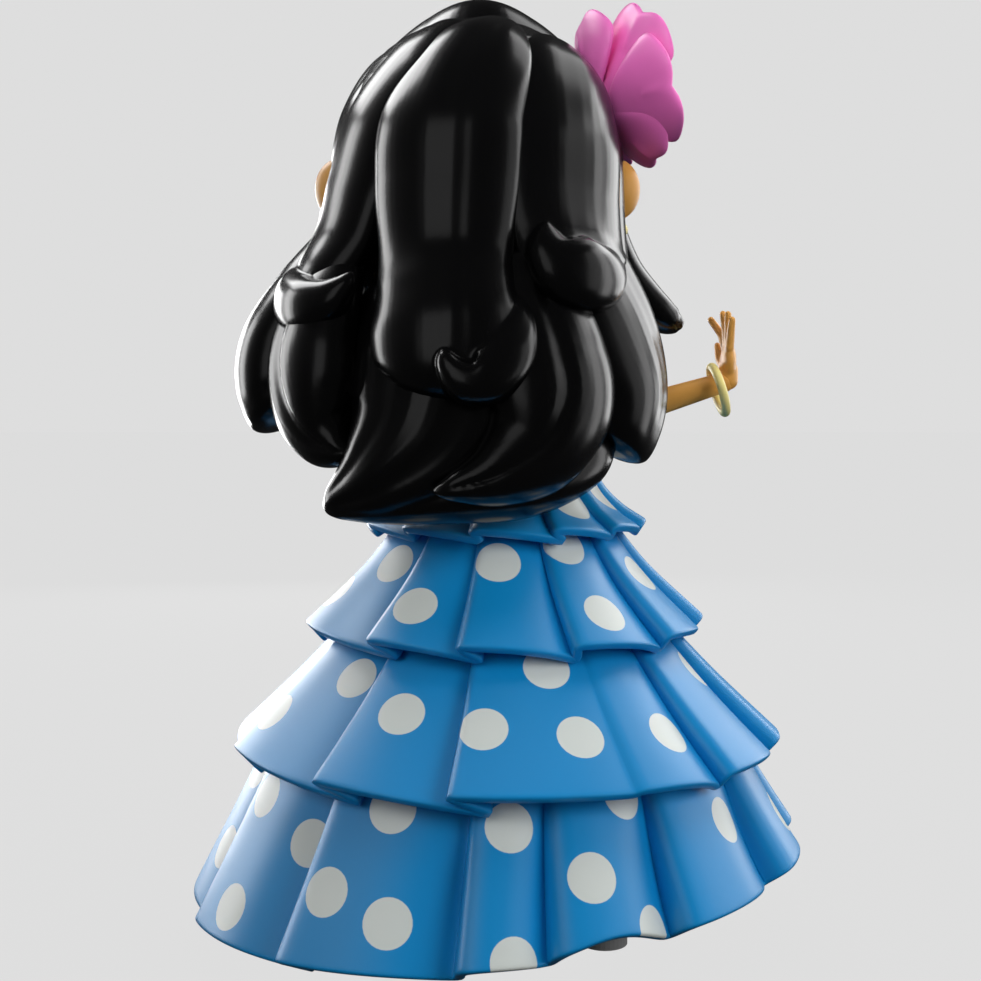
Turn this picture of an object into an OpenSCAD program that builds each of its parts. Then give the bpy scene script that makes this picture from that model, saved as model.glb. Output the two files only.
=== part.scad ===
// Souvenir figurine of a dancer in a ruffled dress, as an assembly of moulded pieces.
// Units are millimetres. +Z is up, the face looks along -Y, and the origin is on the
// ground under the middle of the skirt. "Right" and "left" are the dancer's own.

/* [Skirt] */
// Height of the lowest hem above the ground
hem_z = 10; // [9:0.5:11]
// Radius of the lowest hem
skirt_r = 47; // [46.5:0.25:48]
// Rise of the lowest hem per millimetre towards the dancer's right
hem_tilt = 0.1; // [0:0.02:0.1]
// Thickness of a ruffle
ruffle_t = 1.5; // [1.3:0.1:1.6]
// Wall of the hollow core that carries the ruffles
core_t = 2; // [1.5:0.25:3]

/* [Body] */
// Height of the waist
waist_z = 70; // [69.75:0.25:70.25]
// Height of the arm sockets
shoulder_z = 78.5; // [78:0.25:79]
// Distance from the middle of the chest to each shoulder
shoulder_w = 9.5; // [9:0.25:10]
// Sideways lean of the neck towards the dancer's left
neck_x = 4.3; // [3.8:0.1:4.6]
// Radius of the neck
neck_r = 4.2; // [3.8:0.1:4.5]
// Radius of the pin on which the head turns
neck_pin_r = 2.5; // [2:0.1:2.8]

/* [Head] */
// Half width of the head without hair
head_r = 20.5; // [20:0.1:20.8]
// Height of the chin
chin_z = 88.5; // [88.5:0.1:89]
// Height of the widest part of the head
cheek_z = 111; // [110:0.5:112]
// Height of the skull's top without hair
crown_z = 137; // [136.5:0.5:138]
// Thickness of the hair cap over the skull
cap_t = 1.75; // [1.5:0.05:1.9]

/* [Arms] */
// Radius of the upper arm
arm_r = 2.6; // [2.4:0.1:2.7]
// Radius of the wrist
wrist_r = 1.8; // [1.7:0.05:1.85]
// Radius of the peg that turns in the shoulder
arm_pin_r = 1.5; // [1.3:0.1:1.7]

/* [Bangle] */
// Radius of the middle of the bangle's ring
bangle_r = 3.7; // [3.6:0.05:3.8]
// Radius of the bangle's round section
bangle_tube_r = 0.7; // [0.6:0.05:0.75]

/* [Flower] */
// Reach of an outer petal
petal_len = 12; // [11.5:0.5:12]
// Thickness of a petal
petal_t = 1.5; // [1.2:0.1:1.8]

/* [Hidden] */

round_fn = 64;
blend_fn = 20;
// Running clearance of a pin in its hole, and the gap left at glued faces
run_gap = 0.05;
glue_gap = 0.05;

skin = [0.82, 0.62, 0.38];
dress_blue = [0.18, 0.47, 0.76];
hair_black = [0.03, 0.03, 0.035];
petal_pink = [0.72, 0.3, 0.58];
bangle_yellow = [0.9, 0.84, 0.5];
sole_grey = [0.78, 0.78, 0.78];
shoe_white = [0.9, 0.9, 0.88];

// Middle of the head seen from above
head_c = [neck_x, 1];

// ---- Skirt ----------------------------------------------------------------------

// A ruffle's outer outline from its top to its hem, as [radius, height], then the depth
// of its folds at the hem and the angles at which two panels meet. Angles are measured
// from the back (+Y) towards the dancer's right (-X).
tier_1_outline = [[14, waist_z], [15, 67.5], [18, 64.5], [21.7, 62]];
tier_1_folds = [-70, -40, -10, 20, 48, 80, 110, 140, 170, 200, 230, 260];
tier_1_depth = 1.6;
tier_2_outline = [[15.6, 64], [17.6, 60.5], [22.6, 54.5], [30.8, 47]];
tier_2_folds = [-80, -39, -12, 16, 44, 88, 118, 148, 178, 208, 238];
tier_2_depth = 3;
tier_3_outline = [[22.6, 50.5], [24.5, 47], [32, 39], [42.2, 29.5]];
tier_3_folds = [-71, -38, -11, 24, 43, 75, 104, 132, 160, 190, 220, 252];
tier_3_depth = 3.4;
tier_4_outline = [[34, 33], [35.8, 30], [41.5, 20], [skirt_r, hem_z]];
tier_4_folds = [-67, -37, -7, 32, 60, 90, 120, 150, 180, 208, 236, 264];
tier_4_depth = 4;

ruffle_steps = 72;
// How square the panels are between folds: 2 is round, 4 is flat with sharp valleys
panel_power = 3;

// Outer radii of the core's steps, each just inside the ruffle that it carries
core_steps = [[tier_4_outline[0][0], hem_z + 2], [tier_3_outline[0][0], tier_4_outline[0][1]],
              [tier_2_outline[0][0], tier_3_outline[0][1]],
              [tier_1_outline[0][0], tier_2_outline[0][1]]];
core_inset = ruffle_t + 0.15;

function last(list) = list[len(list) - 1];

// How far along its panel an angle lies, from 0 at one fold to 1 at the next
function panel_share(angle, folds, i = 0) =
    let (n = len(folds))
    let (from = folds[i])
    let (to = i + 1 < n ? folds[i + 1] : folds[0] + 360)
    (angle >= from && angle < to) ? (angle - from) / (to - from)
    : i + 1 < n ? panel_share(angle, folds, i + 1) : 0;

function fold_drop(angle, folds) =
    let (turned = angle < folds[0] ? angle + 360 : angle)
    pow(abs(2 * panel_share(turned, folds) - 1), panel_power);

// A point on a ruffle's surface, set back into the wall by the distance "deep"
function ruffle_point(angle, k, outline, folds, depth, tilt, deep) =
    let (share = k / (len(outline) - 1))
    let (top = outline[0])
    let (hem = last(outline))
    let (run = norm(hem - top))
    let (out = [(top.y - hem.y) / run, (hem.x - top.x) / run])
    let (r = outline[k].x - depth * share * share * fold_drop(angle, folds) - deep * out.x)
    let (x = -r * sin(angle))
    [x, r * cos(angle), outline[k].y - deep * out.y - tilt * share * x];

module ruffle(outline, folds, depth, tilt = 0) {
    rings = len(outline);
    start = folds[0];
    outer = [for (k = [0 : rings - 1]) for (i = [0 : ruffle_steps - 1])
        ruffle_point(start + 360 * i / ruffle_steps, k, outline, folds, depth, tilt, 0)];
    inner = [for (k = [rings - 1 : -1 : 0]) for (i = [0 : ruffle_steps - 1])
        ruffle_point(start + 360 * i / ruffle_steps, k, outline, folds, depth, tilt, ruffle_t)];
    loops = 2 * rings;
    faces = [for (k = [0 : loops - 1]) for (i = [0 : ruffle_steps - 1])
        let (j = (i + 1) % ruffle_steps)
        let (a = k * ruffle_steps)
        let (b = ((k + 1) % loops) * ruffle_steps)
        for (side = [[a + i, b + i, b + j], [a + i, b + j, a + j]]) side];
    polyhedron(concat(outer, inner), [for (f = faces) [f[2], f[1], f[0]]]);
}

module tier_1() {
    color(dress_blue) ruffle(tier_1_outline, tier_1_folds, tier_1_depth);
}

module tier_2() {
    color(dress_blue) ruffle(tier_2_outline, tier_2_folds, tier_2_depth);
}

module tier_3() {
    color(dress_blue) ruffle(tier_3_outline, tier_3_folds, tier_3_depth);
}

module tier_4() {
    color(dress_blue) ruffle(tier_4_outline, tier_4_folds, tier_4_depth, hem_tilt);
}

module skirt_core() {
    n = len(core_steps);
    outside = [for (i = [0 : n - 1])
        let (r = core_steps[i].x - core_inset)
        let (z_top = i + 1 < n ? core_steps[i + 1].y : waist_z)
        for (p = [[r, core_steps[i].y], [r, z_top]]) p];
    inside = [for (i = [n - 1 : -1 : 0])
        let (r = core_steps[i].x - core_inset - core_t)
        let (z_top = i + 1 < n ? core_steps[i + 1].y : waist_z)
        for (p = [[r, z_top - core_t], [r, core_steps[i].y - (i > 0 ? core_t : 0)]]) p];
    color(dress_blue)
    rotate_extrude($fn = round_fn)
    polygon(concat(outside, [[0, waist_z], [0, waist_z - core_t]], inside));
}

// ---- Legs and shoes -------------------------------------------------------------

leg_r = 3.5;
plug_t = 3;
plug_r = core_steps[0].x - core_inset - core_t;
sole_t = 1.6;
shoe_top_z = 8;
// Middle of each shoe on the ground
shoe_right_c = [-14.6, 4.5];
shoe_left_c = [12, -5];
shoe_len = 25;
shoe_w = 9;
// The leg stands over the heel, this far behind the middle of the shoe
heel_back = 5;

module leg_at(c) {
    translate([c.x, c.y + heel_back, shoe_top_z])
    cylinder(r = leg_r, h = hem_z + 2 + plug_t - shoe_top_z, $fn = round_fn);
}

module base_plug() {
    color(dress_blue)
    difference() {
        translate([0, 0, hem_z + 2]) cylinder(r = plug_r, h = plug_t, $fn = round_fn);
        for (c = [shoe_right_c, shoe_left_c])
            translate([c.x, c.y + heel_back, hem_z + 1])
            cylinder(r = leg_r + run_gap, h = plug_t + 2, $fn = round_fn);
    }
}

module sole_at(c) {
    toe_r = shoe_w / 2;
    heel_r = 3.6;
    linear_extrude(sole_t)
    hull() {
        translate([c.x, c.y - shoe_len / 2 + toe_r]) circle(r = toe_r, $fn = 32);
        translate([c.x, c.y + shoe_len / 2 - heel_r]) circle(r = heel_r, $fn = 32);
    }
}

module shoe_at(c) {
    toe_r = shoe_w / 2 - 0.4;
    heel_r = 3.2;
    hull() {
        translate([c.x, c.y - shoe_len / 2 + toe_r + 0.4, sole_t])
        cylinder(r = toe_r, h = 1.5, $fn = 32);
        translate([c.x, c.y - shoe_len / 2 + toe_r + 1.4, sole_t + 2.4])
        sphere(r = 2, $fn = 16);
        translate([c.x, c.y + shoe_len / 2 - heel_r - 0.4, sole_t])
        cylinder(r = heel_r, h = 2, $fn = 32);
        translate([c.x, c.y + heel_back, shoe_top_z - 1])
        cylinder(r = leg_r, h = 1, $fn = 32);
    }
}

module leg_right() {
    color(skin) leg_at(shoe_right_c);
}

module leg_left() {
    color(skin) leg_at(shoe_left_c);
}

module shoe_right() {
    color(shoe_white) shoe_at(shoe_right_c);
}

module shoe_left() {
    color(shoe_white) shoe_at(shoe_left_c);
}

module sole_right() {
    color(sole_grey) sole_at(shoe_right_c);
}

module sole_left() {
    color(sole_grey) sole_at(shoe_left_c);
}

// ---- Chest and neck -------------------------------------------------------------

bust_z = waist_z + glue_gap;
chest_c = [2.8, 0, shoulder_z];
bodice_t = 1.2;
bodice_top_z = 76;
neck_top_z = chin_z - 0.1;
neck_pin_z = shoulder_z - 4;
pin_socket_depth = 4.5;

// The trunk from the waist to the shoulders, grown outwards by "grow"
module trunk(grow = 0) {
    hull() {
        translate([1, 0, bust_z]) cylinder(r = 8 + grow, h = 1, $fn = 32);
        for (side = [-1, 1])
            translate([chest_c.x + side * (shoulder_w - 4), 0, chest_c.z])
            sphere(r = 4 + grow, $fn = 16);
        for (side = [-1, 1])
            translate([chest_c.x + side * 4.5, -3.5, 75]) sphere(r = 4.5 + grow, $fn = 16);
    }
}

module arm_sockets() {
    for (side = [-1, 1])
        translate([chest_c.x + side * (shoulder_w - pin_socket_depth), 0, shoulder_z])
        rotate([0, side * 90, 0])
        cylinder(r = arm_pin_r + run_gap, h = pin_socket_depth + 2, $fn = round_fn);
}

module bust() {
    color(skin)
    difference() {
        union() {
            trunk();
            translate([neck_x, 0, shoulder_z])
            cylinder(r = neck_r, h = neck_top_z - shoulder_z, $fn = round_fn);
        }
        translate([neck_x, 0, neck_pin_z]) cylinder(r = neck_pin_r, h = 20, $fn = round_fn);
        arm_sockets();
    }
}

module bodice() {
    color(dress_blue)
    difference() {
        trunk(bodice_t + glue_gap);
        trunk(glue_gap);
        translate([-30, -30, bodice_top_z]) cube([60, 60, 30]);
        translate([-30, -30, 0]) cube([60, 60, bust_z]);
    }
}

bush_top_z = 93;
bush_r = 6;
pin_head_r = 4;

module neck_pin() {
    color("silver")
    translate([neck_x, 0, neck_pin_z]) {
        cylinder(r = neck_pin_r, h = bush_top_z + 0.2 - neck_pin_z, $fn = round_fn);
        translate([0, 0, bush_top_z + 0.2 - neck_pin_z])
        cylinder(r = pin_head_r, h = 1.5, $fn = round_fn);
    }
}

module neck_bush() {
    color("dimgray")
    translate([neck_x, 0, chin_z])
    difference() {
        cylinder(r = bush_r, h = bush_top_z - chin_z, $fn = round_fn);
        translate([0, 0, -1]) cylinder(r = neck_pin_r + run_gap, h = 20, $fn = round_fn);
    }
}

// ---- Head -----------------------------------------------------------------------

shell_t = 2.2;
ear_z = 113.5;
ear_x = 21.8;
// Fullness of the head's outline: 2 is an ellipse, more is fuller in the cheeks
head_power = 2.3;

// Half of the head's outline from the chin up, grown outwards by "grow"
function egg_point(a, grow) =
    let (half_h = a < 0 ? cheek_z - chin_z : crown_z - cheek_z)
    let (c = pow(cos(a), 2 / head_power))
    let (s = pow(abs(sin(a)), 2 / head_power))
    [(head_r + grow) * c, cheek_z + sign(a) * (half_h + grow) * s];

module egg(grow = 0) {
    translate([head_c.x, head_c.y, 0])
    rotate_extrude($fn = 48)
    polygon(concat([for (a = [-90 : 7.5 : 82.5]) egg_point(a, grow)],
                   [[0, crown_z + grow]]));
}

module ears(grow = 0) {
    for (side = [-1, 1])
        hull() {
            translate([head_c.x + side * ear_x, 0.5, ear_z + 1])
            sphere(r = 3.3 + grow, $fn = blend_fn);
            translate([head_c.x + side * (ear_x - 1), 0.5, ear_z - 2])
            sphere(r = 2.2 + grow, $fn = blend_fn);
        }
}

module head_shell() {
    color(skin)
    difference() {
        union() {
            egg();
            ears();
            translate([head_c.x, head_c.y - head_r - 0.1, 103]) sphere(r = 1.3, $fn = blend_fn);
        }
        egg(-shell_t);
        translate([neck_x, 0, chin_z - 5]) cylinder(r = bush_r, h = 12, $fn = round_fn);
    }
}

module earring_at(side) {
    color(bangle_yellow)
    translate([head_c.x + side * 22.3, 0.5, ear_z - 5.9])
    sphere(r = 1.1, $fn = blend_fn);
}

module earring_right() {
    earring_at(-1);
}

module earring_left() {
    earring_at(1);
}

// ---- Hair -----------------------------------------------------------------------

hairline_z = 124;
hairline_y = 3.5;

module hair_cap() {
    color(hair_black)
    difference() {
        egg(cap_t);
        egg(glue_gap);
        translate([head_c.x - 40, hairline_y - 60, 60]) cube([80, 60, hairline_z - 60]);
        translate([head_c.x - 40, -40, 60]) cube([80, 80, 96 - 60]);
        flower_frame()
        translate([0, 0, -4])
        cylinder(r = flower_peg_r + glue_gap, h = 8, $fn = round_fn);
    }
}

// Every lock is a list of strands, and a strand is a list of beads joined one to the
// next. A bead is [angle from the back towards the dancer's right, height, distance
// outside the hair cap, half width, half thickness].
lock_centre_path = [
    [[50, 137, 0.5, 3, 2], [14, 131, 1, 7, 2.5], [-6, 121, 1, 10, 3], [-10, 110, 1.5, 11, 3],
     [-10, 98, 4, 11, 3.5], [-8, 88, 6, 10, 4.5], [-8, 83, 6, 7, 4]],
    [[12, 92, 6.5, 2, 2], [8, 86, 8, 2.5, 2.5], [-2, 84, 9, 2.5, 2.5], [-8, 88, 9, 1, 1]]];
lock_right_path = [
    [[72, 134, 0.5, 3, 1.5], [50, 126, 0.5, 6, 2], [42, 116, 0.5, 7, 2.5], [42, 107, 1, 7, 3],
     [41, 99, 3, 6, 3.5], [41, 96, 3, 4, 2.5]],
    [[50, 101, 4, 1.5, 2], [40, 97, 6, 2, 2.5], [28, 98, 6, 2, 2.5], [20, 103, 5, 1, 1]]];
lock_left_path = [
    [[-16, 136, 0.5, 3, 1.5], [-32, 130, 0.5, 5, 2], [-48, 121, 0.5, 5, 2.2], [-58, 112, 0.5, 4, 2.4],
     [-57, 104, 1, 3, 2.6], [-55, 98, 4, 4, 3], [-54, 94, 5, 3, 2.5]],
    [[-58, 96, 6, 1, 2], [-50, 92, 7, 1.5, 2.4], [-41, 94, 6.5, 1.5, 2], [-38, 98, 5.5, 1, 1]]];
top_path = [
    [[128, 134, 1.5, 2, 2], [136, 137, 3, 4, 4], [180, 140, 6, 5, 4], [232, 137, 3, 4, 4],
     [248, 131, 1.5, 3, 3]]];
fringe_right_path = [
    [[184, 135, 3, 4, 2.5], [165, 131, 2, 5, 3], [138, 124, 1.5, 5, 3], [120, 116, 1.5, 3, 2],
     [112, 110, 1.5, 1, 1]]];
fringe_left_path = [
    [[176, 135, 3, 4, 2.5], [198, 131, 2, 4, 2.5], [222, 124, 1.5, 4, 2.5], [240, 116, 1.5, 3, 2],
     [248, 110, 1.5, 1, 1]]];
lobe_far_left_path = [
    [[-72, 106, 1, 3, 2.5], [-73, 96, 6.5, 4.5, 4], [-73, 87, 10, 4.5, 4.5], [-72, 80, 10, 3.5, 4.5],
     [-68, 76, 7.5, 2, 2.5]]];
lobe_left_path = [
    [[-58, 100, 2, 4, 2.5], [-54, 90, 5.5, 5, 4], [-52, 82, 7.5, 5, 5], [-48, 76, 7, 4, 4.5],
     [-42, 71, 6, 3, 3], [-45, 66, 8, 1, 1]]];
lobe_centre_path = [
    [[27, 99, 1, 5, 3], [29, 88, 3, 7, 5], [25, 78, 4.5, 7, 6], [18, 72, 4.5, 5, 5],
     [2, 69, 6, 3, 3], [-10, 68, 8, 1, 1]]];
lobe_right_path = [
    [[66, 107, 0.5, 3, 2.5], [66, 96, 3, 4.5, 4], [65, 87, 4.5, 4.5, 5], [60, 78, 3.5, 4.5, 5],
     [50, 73, 2, 3, 4]]];
sweep_path = [
    [[-12, 96, -1, 9, 3], [-14, 85, 0.5, 12, 5], [-16, 77, 2, 11, 6], [-29, 70, 4, 6, 5],
     [-42, 66, 7, 2, 2]],
    [[57, 76, 3, 3, 3], [39, 71, 2.5, 3.5, 4], [16, 68, 1, 3, 4], [-11, 66, 1.5, 2.5, 3.5],
     [-31, 66, 4.5, 2, 3], [-45, 65, 8.5, 1, 1]]];
side_right_path = [
    [[106, 117, 1, 2, 1.5], [106, 107, 2, 2, 2], [105, 100, 6, 2.5, 2.5], [102, 94, 11, 1, 1]]];
side_left_path = [
    [[254, 117, 1, 2, 1.5], [254, 107, 2, 2, 2], [255, 100, 4, 2.5, 2.5], [258, 95, 7, 1, 1]]];

// The locks in the order in which they cover each other, from the outermost
lock_paths = [lock_centre_path, lock_right_path, lock_left_path, top_path,
              fringe_right_path, fringe_left_path, lobe_centre_path, lobe_left_path,
              lobe_right_path, lobe_far_left_path, sweep_path, side_right_path,
              side_left_path];

// Radius of the hair cap at a height, taken as straight below the cheeks
function cap_r(z) =
    let (share = (z - cheek_z) / (crown_z - cheek_z + cap_t))
    z <= cheek_z ? head_r + cap_t
    : share >= 1 ? 0
    : (head_r + cap_t) * pow(1 - pow(share, head_power), 1 / head_power);

module bead(p, grow) {
    translate([head_c.x, head_c.y, p.y])
    rotate(p.x)
    translate([0, cap_r(p.y) + p.z, 0])
    scale([p[3] + grow, p[4] + grow, min(p[3], p[4]) + grow])
    sphere(r = 1, $fn = 10);
}

module strands(lock, grow = 0) {
    for (path = lock)
        for (i = [0 : len(path) - 2])
            hull() {
                bead(path[i], grow);
                bead(path[i + 1], grow);
            }
}

// A lock without the space of the head, the cap and the locks that lie over it
module lock_piece(rank) {
    color(hair_black)
    difference() {
        strands(lock_paths[rank]);
        egg(cap_t + glue_gap);
        ears(0.1);
        if (rank > 0)
            for (over = [0 : rank - 1]) strands(lock_paths[over], glue_gap);
    }
}

module hair_lock_centre() {
    lock_piece(0);
}

module hair_lock_right() {
    lock_piece(1);
}

module hair_lock_left() {
    lock_piece(2);
}

module hair_top() {
    lock_piece(3);
}

module hair_fringe_right() {
    lock_piece(4);
}

module hair_fringe_left() {
    lock_piece(5);
}

module hair_lobe_centre() {
    lock_piece(6);
}

module hair_lobe_left() {
    lock_piece(7);
}

module hair_lobe_right() {
    lock_piece(8);
}

module hair_lobe_far_left() {
    lock_piece(9);
}

module hair_sweep() {
    lock_piece(10);
}

module hair_side_right() {
    lock_piece(11);
}

module hair_side_left() {
    lock_piece(12);
}

// ---- Flower ---------------------------------------------------------------------

// Where the flower meets the cap, and the way it faces as turns about Y and then Z
flower_c = [-14.5, -1, 129.5];
flower_lean = -68;
flower_turn = 22;
flower_peg_r = 1.5;
flower_peg_len = 2.1;
outer_petals = 5;
inner_petals = 5;

module flower_frame() {
    translate(flower_c) rotate([0, 0, flower_turn]) rotate([0, flower_lean, 0]) children();
}

// A notched petal of two lobes, lying along +X and cupped up by the angle "cup"
module petal(reach, cup, lobe_r, root) {
    for (side = [-1, 1]) {
        out = (reach - lobe_r) * (1 + 0.02 * side);
        hull() {
            translate([root, side * 0.4, 1.5]) sphere(r = petal_t / 2, $fn = 8);
            translate([out * cos(cup), side * lobe_r * 0.72, out * sin(cup) + 1.5])
            rotate([0, -cup, 0]) cylinder(r = lobe_r, h = petal_t, $fn = 12);
        }
    }
}

module outer_ring() {
    for (i = [0 : outer_petals - 1])
        rotate(360 / outer_petals * i) petal(petal_len, 32, 3.8, 2);
}

// Single-lobed petals that stand steeply round the bud
module inner_ring() {
    for (i = [0 : inner_petals - 1])
        rotate(360 / inner_petals * (i + 0.5))
        hull() {
            translate([1, 0, 4]) sphere(r = 0.7, $fn = 8);
            translate([3, 0, 7]) rotate([0, -50, 0]) cylinder(r = 2, h = 1, $fn = 12);
        }
}

module bud(grow = 0) {
    translate([0, 0, 5.2]) sphere(r = 2 + grow, $fn = blend_fn);
}

module flower_outer() {
    color(petal_pink)
    flower_frame() {
        outer_ring();
        translate([0, 0, glue_gap]) cylinder(r = 3.3, h = 2.4, $fn = 20);
    }
}

module flower_inner() {
    color(petal_pink)
    flower_frame()
    difference() {
        union() {
            inner_ring();
            translate([0, 0, 2.4 + glue_gap]) cylinder(r = 1.2, h = 2, $fn = 20);
        }
        bud(glue_gap);
    }
}

module flower_centre() {
    color(bangle_yellow) flower_frame() bud();
}

module flower_peg() {
    color(petal_pink)
    flower_frame()
    translate([0, 0, -flower_peg_len])
    cylinder(r = flower_peg_r, h = flower_peg_len, $fn = round_fn);
}

// ---- Arms -----------------------------------------------------------------------

// Shoulder, elbow and wrist of each arm
shoulder_gap = 0.3;
right_shoulder = [chest_c.x - shoulder_w - arm_r - shoulder_gap, 0, shoulder_z];
right_elbow = [-18, 0, 79];
right_wrist = [-32, 0, 83.3];
left_shoulder = [chest_c.x + shoulder_w + arm_r + shoulder_gap, 0, shoulder_z];
left_elbow = [20, -2, 71.5];
left_wrist = [13, -18, 74.5];

// Turns its children from +Z to the direction from one point to another
module aim(from, to) {
    d = to - from;
    translate(from)
    rotate([0, acos(d.z / norm(d)), atan2(d.y, d.x)])
    children();
}

module limb(from, to, r_from, r_to) {
    aim(from, to) cylinder(r1 = r_from, r2 = r_to, h = norm(to - from), $fn = 32);
}

module arm_peg(shoulder, side) {
    reach = abs(shoulder.x - chest_c.x) - shoulder_w + pin_socket_depth - 0.5;
    translate(shoulder)
    rotate([0, -side * 90, 0])
    cylinder(r = arm_pin_r, h = reach, $fn = round_fn);
}

module arm_right() {
    color(skin) {
        arm_peg(right_shoulder, -1);
        translate(right_shoulder) sphere(r = arm_r, $fn = 32);
        limb(right_shoulder, right_elbow, arm_r, 2.5);
        translate(right_elbow) sphere(r = 2.5, $fn = 32);
        limb(right_elbow, right_wrist, 2.5, wrist_r);
        aim(right_wrist, right_wrist + forearm_dir) cylinder(r = wrist_r, h = wrist_len, $fn = 32);
    }
}

module arm_left() {
    color(skin) {
        arm_peg(left_shoulder, 1);
        translate(left_shoulder) sphere(r = arm_r + 0.1, $fn = 32);
        limb(left_shoulder, left_elbow, arm_r, 2.2);
        translate(left_elbow) sphere(r = 2.4, $fn = 32);
        limb(left_elbow, left_wrist, 2.2, wrist_r);
    }
}

wrist_len = 2.4;
forearm_dir = (right_wrist - right_elbow) / norm(right_wrist - right_elbow);
hand_len = 11;

// The thumb is a chain of beads, thinner towards its tip
module thumb_bead(i) {
    translate([1.2 + i * 0.9, -0.2 * i, 2 + i * 1.4])
    sphere(r = 1 - i * 0.1, $fn = 10);
}

// A hand lying along +Z with its palm towards -Y and its thumb towards +X
module hand() {
    hull() {
        translate([0, 0, 1.2]) sphere(r = 1.7, $fn = 16);
        for (x = [-1.8, 1.8]) translate([x, 0, 4.6]) sphere(r = 1.3, $fn = 14);
    }
    for (i = [0 : 3]) {
        spread = (i - 1.5) * 6;
        translate([(i - 1.5) * 1.25, 0, 4.4])
        rotate([0, spread, 0])
        hull() {
            sphere(r = 0.8, $fn = 10);
            translate([0, 0, hand_len - 4.9 - abs(i - 1.5)]) sphere(r = 0.65, $fn = 10);
        }
    }
    for (i = [0 : 2])
        hull() {
            thumb_bead(i);
            thumb_bead(i + 1);
        }
}

hand_right_c = right_wrist + forearm_dir * wrist_len + [-1.55, 0, 0.1];

module hand_right() {
    color(skin)
    difference() {
        translate(hand_right_c) rotate([0, 8, 0]) rotate([0, 0, 90]) hand();
        aim(right_wrist, right_wrist + forearm_dir)
        cylinder(r = wrist_r + 1, h = wrist_len + glue_gap, $fn = 32);
    }
}

module hand_left() {
    color(skin)
    difference() {
        translate(left_wrist) rotate([0, -70, -35]) rotate([0, 0, -90]) hand();
        aim(left_elbow, left_wrist)
        cylinder(r = wrist_r + 1, h = norm(left_wrist - left_elbow) + glue_gap, $fn = 32);
    }
}

// The bangle hangs on the wrist, its top just clear of the arm
bangle_drop = bangle_r - bangle_tube_r - wrist_r - 0.3;

module bangle() {
    color(bangle_yellow)
    aim(right_wrist, right_wrist + forearm_dir)
    translate([bangle_drop, 0, wrist_len / 2])
    rotate_extrude($fn = round_fn)
    translate([bangle_r, 0]) circle(r = bangle_tube_r, $fn = 24);
}

skirt_core();
base_plug();
tier_1();
tier_2();
tier_3();
tier_4();
bust();
bodice();
neck_pin();
leg_right();
leg_left();
shoe_right();
shoe_left();
sole_right();
sole_left();
head_shell();
neck_bush();
earring_right();
earring_left();
hair_cap();
hair_top();
hair_fringe_right();
hair_fringe_left();
hair_lock_centre();
hair_lock_right();
hair_lock_left();
hair_lobe_far_left();
hair_lobe_left();
hair_lobe_centre();
hair_lobe_right();
hair_sweep();
hair_side_right();
hair_side_left();
flower_outer();
flower_inner();
flower_centre();
flower_peg();
arm_right();
hand_right();
bangle();
arm_left();
hand_left();
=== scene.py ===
"""Looks of the dancer figurine: moulded hair locks, pleated dotted ruffles, head, flower, arms.

Lengths in this script are millimetres until a mesh is made, and metres in Blender.
Angles round the figure are degrees from the back (+Y) towards the dancer's right (-X).
"""
import math

import bpy
import numpy as np
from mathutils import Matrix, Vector


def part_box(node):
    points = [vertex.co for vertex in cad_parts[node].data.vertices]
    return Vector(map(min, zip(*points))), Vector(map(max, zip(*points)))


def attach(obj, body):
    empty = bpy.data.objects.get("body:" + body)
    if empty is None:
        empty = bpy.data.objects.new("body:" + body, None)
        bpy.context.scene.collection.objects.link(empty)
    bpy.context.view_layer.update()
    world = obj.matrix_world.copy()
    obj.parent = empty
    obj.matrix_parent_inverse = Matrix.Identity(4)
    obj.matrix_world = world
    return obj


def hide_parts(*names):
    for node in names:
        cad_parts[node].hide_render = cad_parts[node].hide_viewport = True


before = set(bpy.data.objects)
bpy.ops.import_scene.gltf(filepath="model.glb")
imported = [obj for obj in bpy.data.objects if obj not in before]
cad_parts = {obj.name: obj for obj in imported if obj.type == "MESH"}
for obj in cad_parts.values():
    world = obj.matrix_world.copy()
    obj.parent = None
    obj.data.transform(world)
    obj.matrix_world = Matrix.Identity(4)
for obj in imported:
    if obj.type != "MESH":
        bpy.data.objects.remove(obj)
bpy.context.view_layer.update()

MM = 0.001

# ---- Driving sizes, as in the frame ----------------------------------------------------


def box_mm(node):
    """A CAD node's lowest and highest corners, in millimetres."""
    low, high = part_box(node)
    return np.array(low) / MM, np.array(high) / MM


cap_low, cap_high = box_mm("hair_cap")
HEAD_X = (cap_low[0] + cap_high[0]) / 2
HEAD_Y = 1.0
CAP_T = 1.75
CAP_R = (cap_high[0] - cap_low[0]) / 2
CAP_TOP = cap_high[2]
CHEEK_Z = 111.0
CHIN_Z = 88.5
HEAD_R = CAP_R - CAP_T
CROWN_Z = CAP_TOP - CAP_T
# How square the profile of the head and its cap is: 2 would be an ellipse
HEAD_POWER = 2.3

# ---- Small maths helpers ---------------------------------------------------------------


def smooth(x, low, high):
    """0 below low, 1 above high, and a smooth step between."""
    t = np.clip((np.asarray(x, float) - low) / (high - low), 0, 1)
    return t * t * (3 - 2 * t)


def unit(v):
    """Vectors of length 1."""
    v = np.asarray(v, float)
    return v / np.maximum(np.linalg.norm(v, axis=-1, keepdims=True), 1e-9)


SPLINE_STEPS = 24


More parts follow.
